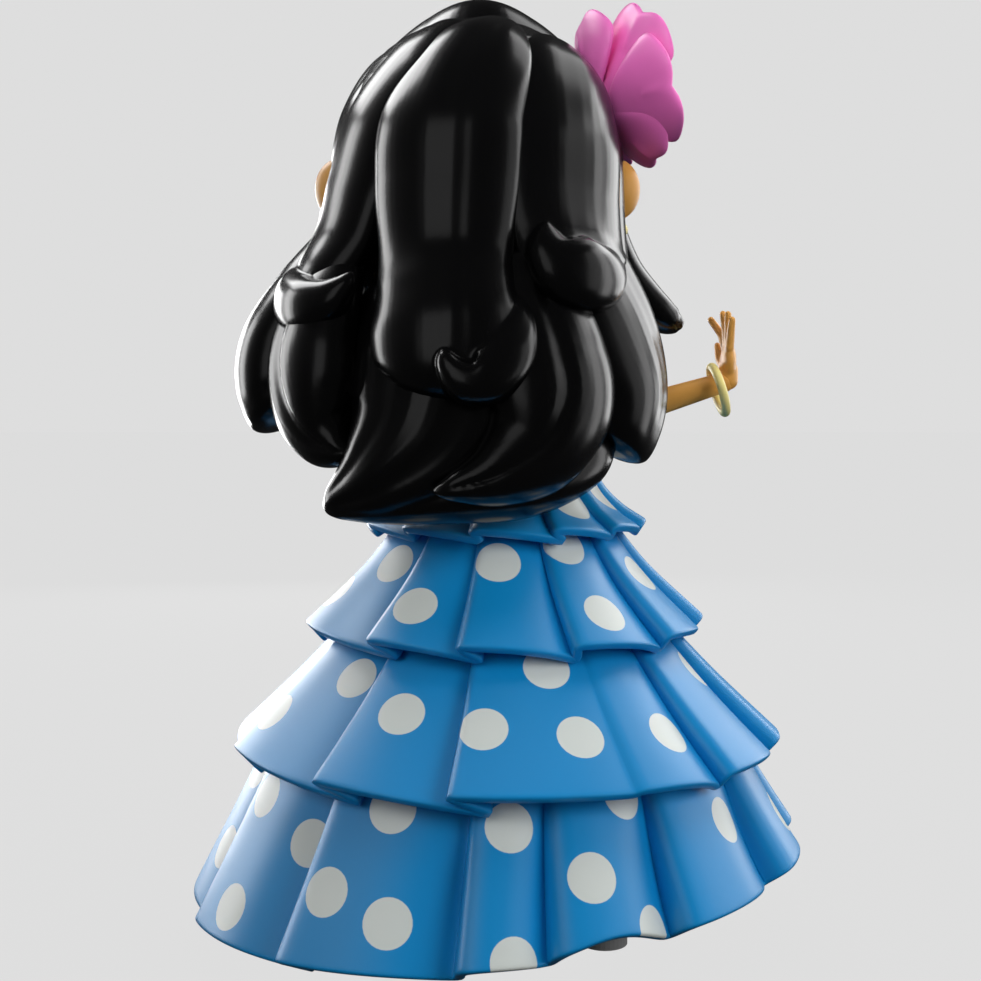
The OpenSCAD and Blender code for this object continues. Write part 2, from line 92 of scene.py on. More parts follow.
def spline(rows, count):
    """count samples of a Catmull-Rom curve through rows, evenly spaced along its length."""
    rows = np.asarray(rows, float)
    pad = np.vstack([2 * rows[0] - rows[1], rows, 2 * rows[-1] - rows[-2]])
    fine = []
    for i in range(1, len(pad) - 2):
        p0, p1, p2, p3 = pad[i - 1:i + 3]
        t = np.linspace(0, 1, SPLINE_STEPS, endpoint=False)[:, None]
        fine.append(0.5 * (2 * p1 + (p2 - p0) * t + (2 * p0 - 5 * p1 + 4 * p2 - p3) * t ** 2
                           + (3 * p1 - p0 - 3 * p2 + p3) * t ** 3))
    fine = np.vstack(fine + [rows[-1:]])
    run = np.concatenate([[0], np.cumsum(np.linalg.norm(np.diff(fine[:, :3], axis=0), axis=1))])
    want = np.linspace(0, run[-1], count)
    return np.stack([np.interp(want, run, fine[:, k]) for k in range(rows.shape[1])], axis=1)


def cap_radius(z):
    """Radius of the hair cap at a height, taken as straight below the cheeks."""
    share = np.clip((np.asarray(z, float) - CHEEK_Z) / (CAP_TOP - CHEEK_Z), 0, 1)
    return CAP_R * (1 - share ** HEAD_POWER) ** (1 / HEAD_POWER)


def around(angle, radius):
    """X and Y of a point at an angle and distance round the head."""
    a = np.radians(angle)
    return HEAD_X - radius * np.sin(a), HEAD_Y + radius * np.cos(a)


# ---- Making pieces ---------------------------------------------------------------------


def grid_faces(rows, cols, closed_rows=False, closed_cols=False, start=0):
    """Quads of a grid of rows x cols points."""
    i = np.arange(rows if closed_rows else rows - 1)[:, None]
    j = np.arange(cols if closed_cols else cols - 1)[None, :]
    i2, j2 = (i + 1) % rows, (j + 1) % cols
    quads = np.stack([i * cols + j, i * cols + j2, i2 * cols + j2, i2 * cols + j], axis=-1)
    return (quads.reshape(-1, 4) + start).tolist()


def capped(rows, cols):
    """Faces of a closed tube whose two end points come after its grid of points."""
    faces = grid_faces(rows, cols, closed_cols=True)
    first, final = rows * cols, rows * cols + 1
    for j in range(cols):
        k = (j + 1) % cols
        faces.append([first, k, j])
        faces.append([final, (rows - 1) * cols + j, (rows - 1) * cols + k])
    return faces


def make_piece(name, points, faces, material, body, slot, replaces=()):
    """A mesh object from points in millimetres, riding on a body."""
    mesh = bpy.data.meshes.new(name)
    mesh.from_pydata((np.asarray(points, float) * MM).tolist(), [], faces)
    mesh.validate()
    piece = bpy.data.objects.new(name, mesh)
    bpy.context.collection.objects.link(piece)
    finish_piece(piece, material, body, replaces)
    return piece


def finish_piece(piece, material, body, replaces=()):
    """Gives a piece its material, smooth shading, body and the nodes it stands for."""
    piece.data.materials.clear()
    piece.data.materials.append(material)
    piece.data.polygons.foreach_set("use_smooth", [True] * len(piece.data.polygons))
    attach(piece, body)
    if replaces:
        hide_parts(*replaces)


def join_parts(parts):
    """Several (points, faces) as one."""
    points, faces, start = [], [], 0
    for part_points, part_faces in parts:
        points.append(np.asarray(part_points, float))
        faces += [[v + start for v in face] for face in part_faces]
        start += len(part_points)
    return np.vstack(points), faces


def apply_modifiers(piece):
    """Turns a piece's modifiers into its mesh."""
    graph = bpy.context.evaluated_depsgraph_get()
    mesh = bpy.data.meshes.new_from_object(piece.evaluated_get(graph))
    piece.modifiers.clear()
    piece.data = mesh


def fuse(name, parts, voxel, rounds, material, body, replaces=()):
    """Closed shapes melted into one clean skin: voxel size in mm, then smoothing rounds."""
    points, faces = join_parts(parts)
    mesh = bpy.data.meshes.new(name)
    mesh.from_pydata((points * MM).tolist(), [], faces)
    piece = bpy.data.objects.new(name, mesh)
    bpy.context.collection.objects.link(piece)
    remesh = piece.modifiers.new("melt", "REMESH")
    remesh.mode = "VOXEL"
    remesh.voxel_size = voxel * MM
    if rounds:
        relax = piece.modifiers.new("relax", "SMOOTH")
        relax.factor = 0.5
        relax.iterations = rounds
    apply_modifiers(piece)
    finish_piece(piece, material, body, replaces)
    return piece


# ---- Materials -------------------------------------------------------------------------


def node(tree, kind, **inputs):
    """A shader node with some of its inputs set."""
    made = tree.nodes.new(kind)
    for key, value in inputs.items():
        made.inputs[key.replace("_", " ")].default_value = value
    return made


# Mottling per metre, and the height of the skin texture in metres
CLOUD_SCALE = 110.0
BUMP_DEPTH = 0.0002


def moulded(name, colour, roughness, rough_var=0.05, colour_var=0.04, bump=0.03, grain=1.2,
            specular=0.5):
    """Painted moulded plastic: faint mottling, uneven gloss and a fine skin texture.
    grain is the size of the skin texture in millimetres."""
    material = bpy.data.materials.new(name)
    material.use_nodes = True
    tree = material.node_tree
    shader = tree.nodes["Principled BSDF"]
    shader.inputs["Specular IOR Level"].default_value = specular
    place = node(tree, "ShaderNodeTexCoord")
    cloudy = node(tree, "ShaderNodeTexNoise", Scale=CLOUD_SCALE, Detail=3.0)
    fine = node(tree, "ShaderNodeTexNoise", Scale=1 / (grain * MM), Detail=2.0)
    tree.links.new(place.outputs["Object"], cloudy.inputs["Vector"])
    tree.links.new(place.outputs["Object"], fine.inputs["Vector"])
    tint = node(tree, "ShaderNodeMix")
    tint.data_type = "RGBA"
    dark = tuple(c * (1 - colour_var) for c in colour) + (1.0,)
    light = tuple(min(1.0, c * (1 + colour_var)) for c in colour) + (1.0,)
    tint.inputs[6].default_value = dark
    tint.inputs[7].default_value = light
    tree.links.new(cloudy.outputs["Fac"], tint.inputs[0])
    tree.links.new(tint.outputs[2], shader.inputs["Base Color"])
    gloss = node(tree, "ShaderNodeMapRange")
    gloss.inputs["To Min"].default_value = roughness - rough_var
    gloss.inputs["To Max"].default_value = roughness + rough_var
    tree.links.new(cloudy.outputs["Fac"], gloss.inputs["Value"])
    tree.links.new(gloss.outputs["Result"], shader.inputs["Roughness"])
    skin_bump = node(tree, "ShaderNodeBump", Strength=bump, Distance=BUMP_DEPTH)
    tree.links.new(fine.outputs["Fac"], skin_bump.inputs["Height"])
    tree.links.new(skin_bump.outputs["Normal"], shader.inputs["Normal"])
    return material


# Half the width, in millimetres, over which a printed dot's edge fades
DOT_EDGE = 0.05


def dotted(name, base, dot_colour, **looks):
    """Moulded plastic with printed dots, whose edge is where the "dot" attribute is 0."""
    material = moulded(name, base, **looks)
    tree = material.node_tree
    shader = tree.nodes["Principled BSDF"]
    ground = shader.inputs["Base Color"].links[0].from_socket
    edge = node(tree, "ShaderNodeAttribute")
    edge.attribute_name = "dot"
    cut = node(tree, "ShaderNodeMapRange")
    cut.inputs["From Min"].default_value = DOT_EDGE
    cut.inputs["From Max"].default_value = -DOT_EDGE
    tree.links.new(edge.outputs["Fac"], cut.inputs["Value"])
    print_mix = node(tree, "ShaderNodeMix")
    print_mix.data_type = "RGBA"
    print_mix.inputs[7].default_value = dot_colour + (1.0,)
    tree.links.new(cut.outputs["Result"], print_mix.inputs[0])
    tree.links.new(ground, print_mix.inputs[6])
    tree.links.new(print_mix.outputs[2], shader.inputs["Base Color"])
    return material


HAIR = moulded("hair_black", (0.0015, 0.0015, 0.0017), 0.23, rough_var=0.02,
               colour_var=0.2, bump=0.01, grain=1.0)
DRESS = dotted("dress_dotted_blue", (0.003, 0.27, 0.64), (0.72, 0.77, 0.74), roughness=0.4,
               rough_var=0.03, bump=0.03, colour_var=0.02)
DRESS_PLAIN = moulded("dress_plain_blue", (0.004, 0.22, 0.56), 0.45)
SKIN = moulded("skin_tan", (0.78, 0.38, 0.08), 0.4, colour_var=0.05)
PETAL = moulded("petal_magenta", (0.9, 0.18, 0.57), 0.36, colour_var=0.05)
TRINKET = moulded("trinket_yellow", (0.95, 0.82, 0.3), 0.36)
SHOE = moulded("shoe_white", (0.6, 0.6, 0.58), 0.35)
SOLE = moulded("sole_grey", (0.3, 0.3, 0.3), 0.55)
EYE_WHITE_AND_GLINT = moulded("eye_white", (0.75, 0.75, 0.73), 0.3, colour_var=0.01, specular=0.2)
IRIS = moulded("iris_brown", (0.1, 0.04, 0.016), 0.3, specular=0.12)
PUPIL = moulded("pupil_black", (0.004, 0.004, 0.004), 0.3, specular=0.12)
LIP = moulded("lip_rose", (0.5, 0.1, 0.09), 0.35)
PIN = moulded("pin_plain", (0.5, 0.49, 0.45), 0.5)
BUSH = moulded("bush_dark", (0.03, 0.03, 0.03), 0.5)

# ---- Ruffles ---------------------------------------------------------------------------

RUFFLE_T = 1.5
ROW_STEP = 0.7
DOT_R = 3.3
# The hem's rounded edge: the angles of its rows, how full it is, and how many rows print reaches
LIP_ANGLES = np.arange(75, -76, -15)
LIP_POWER = 0.6
LIP_PRINTED = 5
# The "dot" value where there is no print, and how strongly a dot keeps to the outermost fold
NO_DOT = 9.0
OUTER_PULL = 0.2


def pleat_plan(radius, folds, soft):
    """A ruffle's plan at its hem, as rows of (base angle, overlap angle, depth).
    folds are (angle, depth, overlap, bow): the panel on the right of each fold starts
    outside, and the panel on its left is tucked in under it by that depth and overlap angle.
    The larger the bow, the nearer to its end that panel starts to sink."""
    corners = []
    count = len(folds)
    for i, (angle, depth, overlap, _) in enumerate(folds):
        corners.append((angle, overlap, -depth))
        corners.append((angle, -overlap, 0.0))
        after, after_depth, after_overlap, bow = folds[(i + 1) % count]
        if i + 1 == count:
            after += 360
        for u in np.arange(0.1, 0.95, 0.1):
            corners.append((angle + (after - angle) * u, -overlap + (after_overlap + overlap) * u,
                            -after_depth * u ** bow))
    corners = np.array(corners)
    closed = np.vstack([corners, corners[:1] + [360, 0, 0]])
    flat = np.stack([np.radians(closed[:, 0] + closed[:, 1]) * radius, closed[:, 2]], axis=1)
    run = np.concatenate([[0], np.cumsum(np.linalg.norm(np.diff(flat, axis=0), axis=1))])
    samples = int(run[-1] / ROW_STEP)
    want = np.arange(samples) * run[-1] / samples
    rows = np.stack([np.interp(want, run, closed[:, k]) for k in range(3)], axis=1)
    # rounding the folds: a running average along the hem, with the full turn taken out first
    turn = 360 * np.arange(samples) / samples
    rows[:, 0] -= turn
    reach = int(3 * soft / ROW_STEP) + 1
    steps = np.arange(-reach, reach + 1) * ROW_STEP
    weights = np.exp(-0.5 * (steps / soft) ** 2)
    weights /= weights.sum()
    rounded = sum(w * np.roll(rows, -k, axis=0) for w, k in zip(weights, range(-reach, reach + 1)))
    rounded[:, 0] += turn
    return rounded


def ruffle_rows(outline, plan, top_share, overlap_share):
    """Grid of points of the ruffle's middle surface, one row per step down the outline."""
    outline = np.asarray(outline, float)
    length = np.linalg.norm(np.diff(outline, axis=0), axis=1).sum()
    line = spline(outline, int(length / ROW_STEP) + 2)
    way = unit(np.gradient(line, axis=0))
    out = np.stack([-way[:, 1], way[:, 0]], axis=1)
    down = np.linspace(0, 1, len(line))
    depth_share = top_share + (1 - top_share) * smooth(down, 0, 1)
    turn_share = overlap_share + (1 - overlap_share) * down
    angle = np.radians(plan[None, :, 0] + plan[None, :, 1] * turn_share[:, None])
    push = plan[None, :, 2] * depth_share[:, None]
    radius = line[:, :1] + out[:, :1] * push
    height = line[:, 1:] + out[:, 1:] * push
    return np.stack([-radius * np.sin(angle), radius * np.cos(angle), height], axis=-1)


def grid_normals(points):
    """Outward normals of a closed grid of rows from top to hem."""
    along = np.roll(points, -1, axis=1) - np.roll(points, 1, axis=1)
    down = np.gradient(points, axis=0)
    return unit(np.cross(down, along)), unit(down)


def ruffle(name, outline, folds, dots, soft=0.8, top_share=0.5, overlap_share=0.6,
           tilt=0.0, shift=0.0, lift=None):
    """A pleated tier. outline is (radius, height) from top to hem, folds are as in pleat_plan,
    and dots are (angle, height). top_share and overlap_share are how much of each fold's depth
    and overlap its top has. tilt and shift lean and move the hem in X, and lift raises it in
    one place, as (angle, rise, spread)."""
    hem_r = outline[-1][0]
    plan = pleat_plan(hem_r, folds, soft)
    middle = ruffle_rows(outline, plan, top_share, overlap_share)
    down_share = np.linspace(0, 1, len(middle))[:, None]
    middle[:, :, 2] -= tilt * middle[:, :, 0] * down_share
    middle[:, :, 0] += shift * down_share
    if lift:
        at, rise, spread = lift
        middle[:, :, 2] += rise * down_share * np.exp(-((plan[None, :, 0] - at) / spread) ** 2)
    normal, down = grid_normals(middle)
    half = RUFFLE_T / 2
    lip = []
    for a in np.radians(LIP_ANGLES):
        across = math.copysign(abs(math.sin(a)) ** LIP_POWER, a)
        beyond = math.cos(a) ** LIP_POWER
        lip.append(middle[-1] + half * (across * normal[-1] + beyond * down[-1]))
    shell = np.concatenate([middle + half * normal, np.array(lip),
                            (middle - half * normal)[::-1]])
    rows, cols = shell.shape[:2]
    piece = make_piece("ruffle_" + name, shell.reshape(-1, 3),
                       grid_faces(rows, cols, True, True), DRESS, "root", "dress",
                       ["tier_" + name])
    outer = (middle + half * normal).reshape(-1, 3)
    outer_angle = np.degrees(np.arctan2(-outer[:, 0], outer[:, 1]))
    points = shell.reshape(-1, 3)
    edge = np.full(len(points), NO_DOT)
    seen = np.zeros(len(points), bool)
    seen[:len(outer) + cols * LIP_PRINTED] = True
    for angle, height in dots:
        off = (outer_angle - angle + 180) % 360 - 180
        miss = (np.radians(off) * hem_r) ** 2 + (outer[:, 2] - height) ** 2
        reach = np.hypot(outer[:, 0], outer[:, 1])
        centre = outer[np.argmin(miss - OUTER_PULL * reach)]
        edge = np.minimum(edge, np.linalg.norm(points - centre, axis=1) - DOT_R)
    edge[~seen] = NO_DOT
    layer = piece.data.attributes.new("dot", "FLOAT", "POINT")
    layer.data.foreach_set("value", edge)


def both_sides(dots):
    """The back's dots, and the same again round the front."""
    return dots + [(angle + 180, height) for angle, height in dots]


ruffle("1", [(13.2, 71), (15, 67.5), (18, 64.5), (21.2, 62.4)],
       [(-72, 1.8, 2, 1.6), (-42, 1.8, 2, 1.6), (-12, 1.8, 2, 1.6), (21, 2, 3, 1.6),
        (48, 1.8, 1, 2), (80, 1.8, 0, 2), (110, 1.6, 0, 2), (140, 1.6, 1, 1.6),
        (170, 1.6, 1, 1.6), (200, 1.6, 1, 1.6), (230, 1.8, 2, 1.6), (260, 1.8, 2, 1.6)],
       both_sides([(35, 66), (64, 67), (-30, 65), (-60, 67), (0, 66)]), soft=0.7)
ruffle("2", [(14.9, 64.5), (17.4, 60.8), (22.3, 54.8), (30.4, 47.3)],
       [(-77, 3, 3, 1.6), (-36, 3.2, 4, 1.6), (-10, 3, 3, 2), (19, 3.2, 1, 2.4),
        (50, 3.2, 0.5, 2.6), (88, 3, 0, 2), (118, 3, 0, 2), (148, 3, 2, 1.6), (178, 3, 3, 1.6),
        (208, 3, 4, 1.6), (243, 3, 3, 1.6)],
       both_sides([(-76, 52), (-54, 57), (-29, 52), (-3, 58), (27, 60), (31, 51), (62, 55)]))
ruffle("3", [(21.8, 51), (24.5, 47), (32, 39), (41.8, 29.8)],
       [(-67, 3.2, 4.5, 1.5), (-34, 3.6, 4.5, 1.5), (-7, 3.8, 4, 1.5), (24, 0.7, 0, 3),
        (47, 3.4, 0, 3), (77, 3.2, 0, 3), (105, 3, 0, 3), (132, 3.2, 2, 1.6),
        (160, 3.4, 4, 1.6), (190, 3.6, 5, 1.6), (220, 3.4, 5, 1.6), (256, 3.2, 5, 1.6)],
       both_sides([(-67, 35), (-47, 41), (-26, 38), (-5, 37), (11, 44), (16, 36), (38, 35),
                   (68, 41)]), soft=0.7)
ruffle("4", [(33.2, 33.5), (35.6, 30), (41, 20), (46.8, 9.8)],
       [(-69, 5, 1, 3), (-37, 6, 2.5, 3), (-6, 6, 0, 2.6), (9.5, 5.6, 0, 3), (33, 6, 0, 3),
        (62, 5, 0, 3), (90, 4, 0, 3), (120, 4.4, 0, 3), (150, 4.4, 0, 3), (180, 4.4, 1, 3),
        (208, 4.4, 1, 3), (236, 4.4, 1, 3), (264, 4.4, 1, 3)],
       both_sides([(-80, 25), (-78, 13), (-61, 24), (-57, 10), (-43, 20), (-33, 16), (-24, 26),
                   (-21, 13), (0, 25), (1, 10), (15, 19), (25, 28), (25.2, 12), (50, 22),
                   (76, 19)]),
       soft=1.9, top_share=0.45, overlap_share=0.5, tilt=0.1, shift=1.5, lift=(19, 1.8, 9))

# ---- Hair ------------------------------------------------------------------------------


LOCK_STEP = 0.7
LOCK_POINTS = 56
# How thick a lock's underside is against its top, and the share of its length that an end takes
LOCK_UNDER = 0.8
LOCK_BLUNT = 0.06


def lock(beads, grooves=(), wrap=True, square=2.3):
    """A closed moulded lock. Each bead is (angle, height, distance outside the cap, half
    width, half thickness). grooves are (place across from -1 to 1, depth, width). wrap bends
    the lock round the head, and square is how boxy its section is: 2 is an ellipse."""
    rows = []
    for angle, z, lift, wide, thick in beads:
        x, y = around(angle, cap_radius(z) + lift)
        rows.append((x, y, z, wide, thick))
    rows = np.array(rows)
    length = np.linalg.norm(np.diff(rows[:, :3], axis=0), axis=1).sum()
    line = spline(rows, int(length / LOCK_STEP) + 8)
    place, wide, thick = line[:, :3], line[:, 3], line[:, 4]
    way = unit(np.gradient(place, axis=0))
    heart = np.stack([np.full(len(place), HEAD_X), np.full(len(place), HEAD_Y),
                      np.minimum(place[:, 2], CHEEK_Z)], axis=1)
    out = unit(place - heart)
    side = unit(np.cross(way, out))
    out = unit(np.cross(side, way))
    share = np.linspace(0, 1, len(place))
    taper = np.sqrt(np.clip(1 - np.clip(1 - share / LOCK_BLUNT, 0, 1) ** 2, 0, 1))
    taper *= np.sqrt(np.clip(1 - np.clip(1 - (1 - share) / LOCK_BLUNT, 0, 1) ** 2, 0, 1))
    taper = np.maximum(taper, 0.02)
    wide, thick = wide * taper, thick * taper
    angle = np.linspace(0, 2 * np.pi, LOCK_POINTS, endpoint=False)
    x_share = np.sign(np.cos(angle)) * np.abs(np.cos(angle)) ** (2 / square)
    y_share = np.sign(np.sin(angle)) * np.abs(np.sin(angle)) ** (2 / square)
    y_share = np.where(y_share < 0, y_share * LOCK_UNDER, y_share)
    x = wide[:, None] * x_share
    y = thick[:, None] * y_share
    fade = smooth(share, 0, 0.15)[:, None] * smooth(1 - share, 0, 0.15)[:, None]
    for at, depth, spread in grooves:
        dent = depth * np.exp(-((x_share - at) / spread) ** 2)
        y = y - fade * np.where(y_share > 0, dent, 0)
    if wrap:
        radius = np.maximum(np.linalg.norm((place - heart)[:, :2], axis=1), 8)[:, None]
        y = y - x ** 2 / (2 * radius)
    points = place[:, None, :] + x[..., None] * side[:, None, :] + y[..., None] * out[:, None, :]
    ends = np.vstack([points[0].mean(axis=0), points[-1].mean(axis=0)])
    return np.vstack([points.reshape(-1, 3), ends]), capped(len(place), LOCK_POINTS)


HAIR_VOXEL = 0.3
HAIR_RELAX = 3


def hair_piece(name, locks, *nodes):
    """Locks melted into one moulded piece that stands for CAD nodes, or adds to the cap."""
    fuse(name, locks, HAIR_VOXEL, HAIR_RELAX, HAIR, "head", nodes)


hair_piece("strand_centre", [
    lock([(30, 137.4, -0.6, 3, 1.2), (2, 131.6, 0.2, 8, 2.2), (-9.5, 121, 0.8, 10.4, 3.2),
          (-11, 111, 1, 10.6, 3.4), (-10.6, 102, 2, 9.7, 3.6), (-9.8, 96, 3.6, 10, 4.4),
          (-9, 90.6, 5, 10.8, 5), (-9, 85.6, 5.4, 10.2, 4.9), (-9.6, 82.4, 5, 8, 4.2),
          (-10, 80.4, 4.4, 5, 3)],
         grooves=[(-0.3, 0.22, 0.12), (-0.02, 0.16, 0.16)], square=2.5),
    lock([(11, 97, 2, 1.6, 1.6), (11.6, 92, 4.2, 3, 3), (9, 87, 6.6, 3.9, 3.9),
          (3.6, 84, 8, 4.1, 3.8), (-1.8, 83.2, 9, 3.3, 3.2), (-5.8, 84.8, 9.8, 2, 2.1),
          (-8, 87.4, 10.2, 0.8, 0.9)], wrap=False)], "hair_lock_centre")
hair_piece("strand_right", [
    lock([(62, 134.5, -0.6, 4, 1.4), (45, 128.5, 0, 9.2, 2.2), (39, 119, 0.1, 10.8, 2.8),
          (37, 110, 0.3, 10.8, 3), (36, 104, 1.2, 10.2, 3.5), (36, 99, 3, 8.8, 4),
          (39, 95.5, 3.4, 6, 3.4)],
         grooves=[(0.1, 0.2, 0.16)], square=2.5),
    lock([(50, 104, 0.4, 2.2, 2), (47.5, 100.6, 2.2, 3.6, 3), (41, 98.2, 4.2, 4.6, 3.6),
          (33.5, 97.8, 5.2, 5.3, 3.8), (26.5, 98.8, 5.4, 5.2, 3.6), (21.8, 101, 5.1, 3.6, 2.7),
          (20.8, 103.4, 4.8, 1.8, 1.6), (21.4, 105.4, 4.6, 0.5, 0.6)], wrap=False)],
    "hair_lock_right")
hair_piece("temple_right", [
    lock([(66, 132, -2, 3, 1.4), (74, 125, -1.4, 5.2, 1.8), (77, 117, -1.2, 5.6, 1.8),
          (78, 108, -1.1, 5.4, 1.9), (77, 100, -0.4, 4.6, 2), (75, 93, 1.4, 2.6, 1.8)])])
hair_piece("crown_right", [
    lock([(99, 130, -1.4, 5.5, 1.6), (98, 125, -1, 8, 1.9), (97, 119, -0.8, 7.5, 1.9),
          (96, 114, -0.8, 4, 1.5)])])
hair_piece("crown_left", [
    lock([(-106, 137, -2, 4, 1.6), (-101, 132, -1.2, 8.5, 2), (-99, 125, -0.9, 9.5, 2.1),
          (-97, 119, -0.8, 8, 1.9), (-96, 114, -0.8, 4, 1.5)])])
hair_piece("temple_left", [
    lock([(-66, 132, -2, 3, 1.4), (-74, 125, -1.4, 5.2, 1.8), (-77, 117, -1.2, 5.6, 1.8),
          (-78, 108, -1.1, 5.4, 1.9), (-79, 100, 0, 4.6, 2), (-79, 93, 2.4, 2.6, 1.8)])])
hair_piece("strand_left", [
    lock([(-14, 136.5, -0.5, 4, 1.4), (-31, 130, -0.5, 7, 2.1), (-47, 121.5, -0.4, 7.8, 2.4),
          (-56, 112, -0.2, 7.8, 2.7), (-59, 105, 1, 7.6, 3.2), (-61, 99.5, 3.2, 6.6, 3.8),
          (-62, 96, 5, 4.6, 3.4)], square=2.3),
    lock([(-70, 103, 1.4, 2.6, 2.2), (-72, 98.6, 4, 3.8, 3.4), (-65, 95.4, 6.4, 4.6, 3.9),
          (-54, 94, 7.2, 4.4, 3.8), (-45.4, 94.8, 6.8, 3.2, 3), (-40, 96.8, 6.2, 1.7, 1.8),
          (-37.8, 98.8, 5.6, 0.5, 0.6)], wrap=False)], "hair_lock_left")
hair_piece("volume_top", [
    lock([(118, 129, 0, 4, 3), (130, 135, 1.4, 6, 4), (170, 139.2, 4, 8, 4.4),
          (225, 136, 1.8, 6, 4), (248, 129, 0, 4, 3)])], "hair_top")
hair_piece("bangs_right", [
    lock([(188, 137, 2, 4.5, 2.5), (165, 132, 1.5, 7.5, 3), (143, 125.5, 1, 7.5, 3),
          (124, 118, 0.8, 6, 2.6), (113, 112, 0.6, 3, 1.8), (107, 107, 0.6, 1, 1)],
         grooves=[(-0.1, 0.5, 0.1), (0.45, 0.4, 0.12)])], "hair_fringe_right")
hair_piece("bangs_left", [
    lock([(172, 137, 2, 4.5, 2.5), (195, 132, 1.5, 6.5, 3), (217, 125.5, 1, 6.5, 3),
          (236, 118, 0.8, 5.4, 2.6), (247, 112, 0.6, 3, 1.8), (253, 107, 0.6, 1, 1)],
         grooves=[(-0.1, 0.5, 0.1), (0.45, 0.4, 0.12)])], "hair_fringe_left")
hair_piece("wave_far_left", [
    lock([(-74, 113, -1.6, 4, 1.6), (-75, 106, -0.2, 6.2, 2.8), (-77, 97.5, 4.6, 7, 4.6),
          (-78, 89.5, 8.8, 7.4, 5.5), (-77, 82.5, 9.4, 7, 5.5), (-73, 77.5, 7.8, 5, 4.4)],
         grooves=[(0.25, 0.7, 0.12)], square=2.5)], "hair_lobe_far_left")
hair_piece("wave_left", [
    lock([(-60, 102, 1, 6, 3), (-59, 95, 4, 8, 4.4), (-58, 87.5, 6.4, 9.2, 5.2),
          (-55, 81, 6.6, 8.6, 5.2), (-49, 76, 6, 5.6, 4.2), (-42, 73.8, 6, 2.6, 2.6),
          (-36.5, 73.6, 6, 0.7, 0.9)],
         grooves=[(0.05, 0.9, 0.12)], square=2.5)], "hair_lobe_left")
hair_piece("wave_centre", [
    lock([(20, 102, 0, 6, 3.2), (20, 94.5, 1.4, 8.4, 4.6), (22, 87, 3.2, 10.2, 5.8),
          (22, 80.5, 4.5, 10.2, 6.4), (16, 74.5, 4.8, 8, 5.6), (5, 70.6, 6, 4.8, 4.2),
          (-6, 68.8, 7.6, 2, 2.4), (-11.5, 68.4, 8.2, 0.7, 0.9)],
         grooves=[(0, 0.6, 0.12)], square=2.5)], "hair_lobe_centre")
hair_piece("wave_right", [
    lock([(46, 108, -1, 6, 2.4), (47, 100, 0.4, 9.6, 3.6), (52, 91, 2.8, 10.6, 4.9),
          (57, 83, 3.8, 9, 5.4), (55.5, 76.8, 3.4, 7.6, 5), (52, 72.8, 2.4, 5, 4)],
         grooves=[(-0.3, 0.3, 0.2)], square=2.5)], "hair_lobe_right")
hair_piece("wave_sweep", [
    lock([(-14, 98, -1.5, 12, 4), (-16, 86, 0.5, 15, 6), (-19, 77, 2, 13, 6.6),
          (-30, 70.5, 4.5, 7.5, 5), (-42, 66.6, 7, 2.4, 2.6), (-46, 65.6, 8, 0.9, 1)],
         grooves=[(-0.45, 0.6, 0.16), (0.3, 0.4, 0.16)], square=2.5),
    lock([(50, 76, 0, 3.4, 3.6), (38, 72, 1, 4.4, 4.6), (16, 68.5, 1, 4.4, 5),
          (-11, 67, 1.5, 3.6, 4.6), (-31, 66, 4.5, 2.6, 3.4), (-45, 65.2, 8.2, 0.9, 1.1)])],
    "hair_sweep")
hair_piece("flick_right", [
    lock([(106, 117, -1.2, 2.8, 1.8), (103, 109, -0.8, 3.8, 2.2), (98, 102, 0.8, 4.4, 2.8),
          (95, 97, 3.8, 3.9, 3.2), (93, 94.2, 6.8, 3, 2.8), (92.4, 93.4, 9, 2, 2.1),
          (92.2, 93.4, 10.4, 1, 1.1)])],
    "hair_side_right")
hair_piece("flick_left", [
    lock([(262, 119, 0, 2.8, 1.6), (261, 111, 0.4, 3.6, 2.4), (261, 104, 1.4, 3.8, 2.8),
          (261, 99, 3.4, 3.4, 2.8), (262, 96.4, 5.4, 2.2, 2.2), (263, 96, 7, 0.8, 1)])],
    "hair_side_left")

# ---- Flower ----------------------------------------------------------------------------


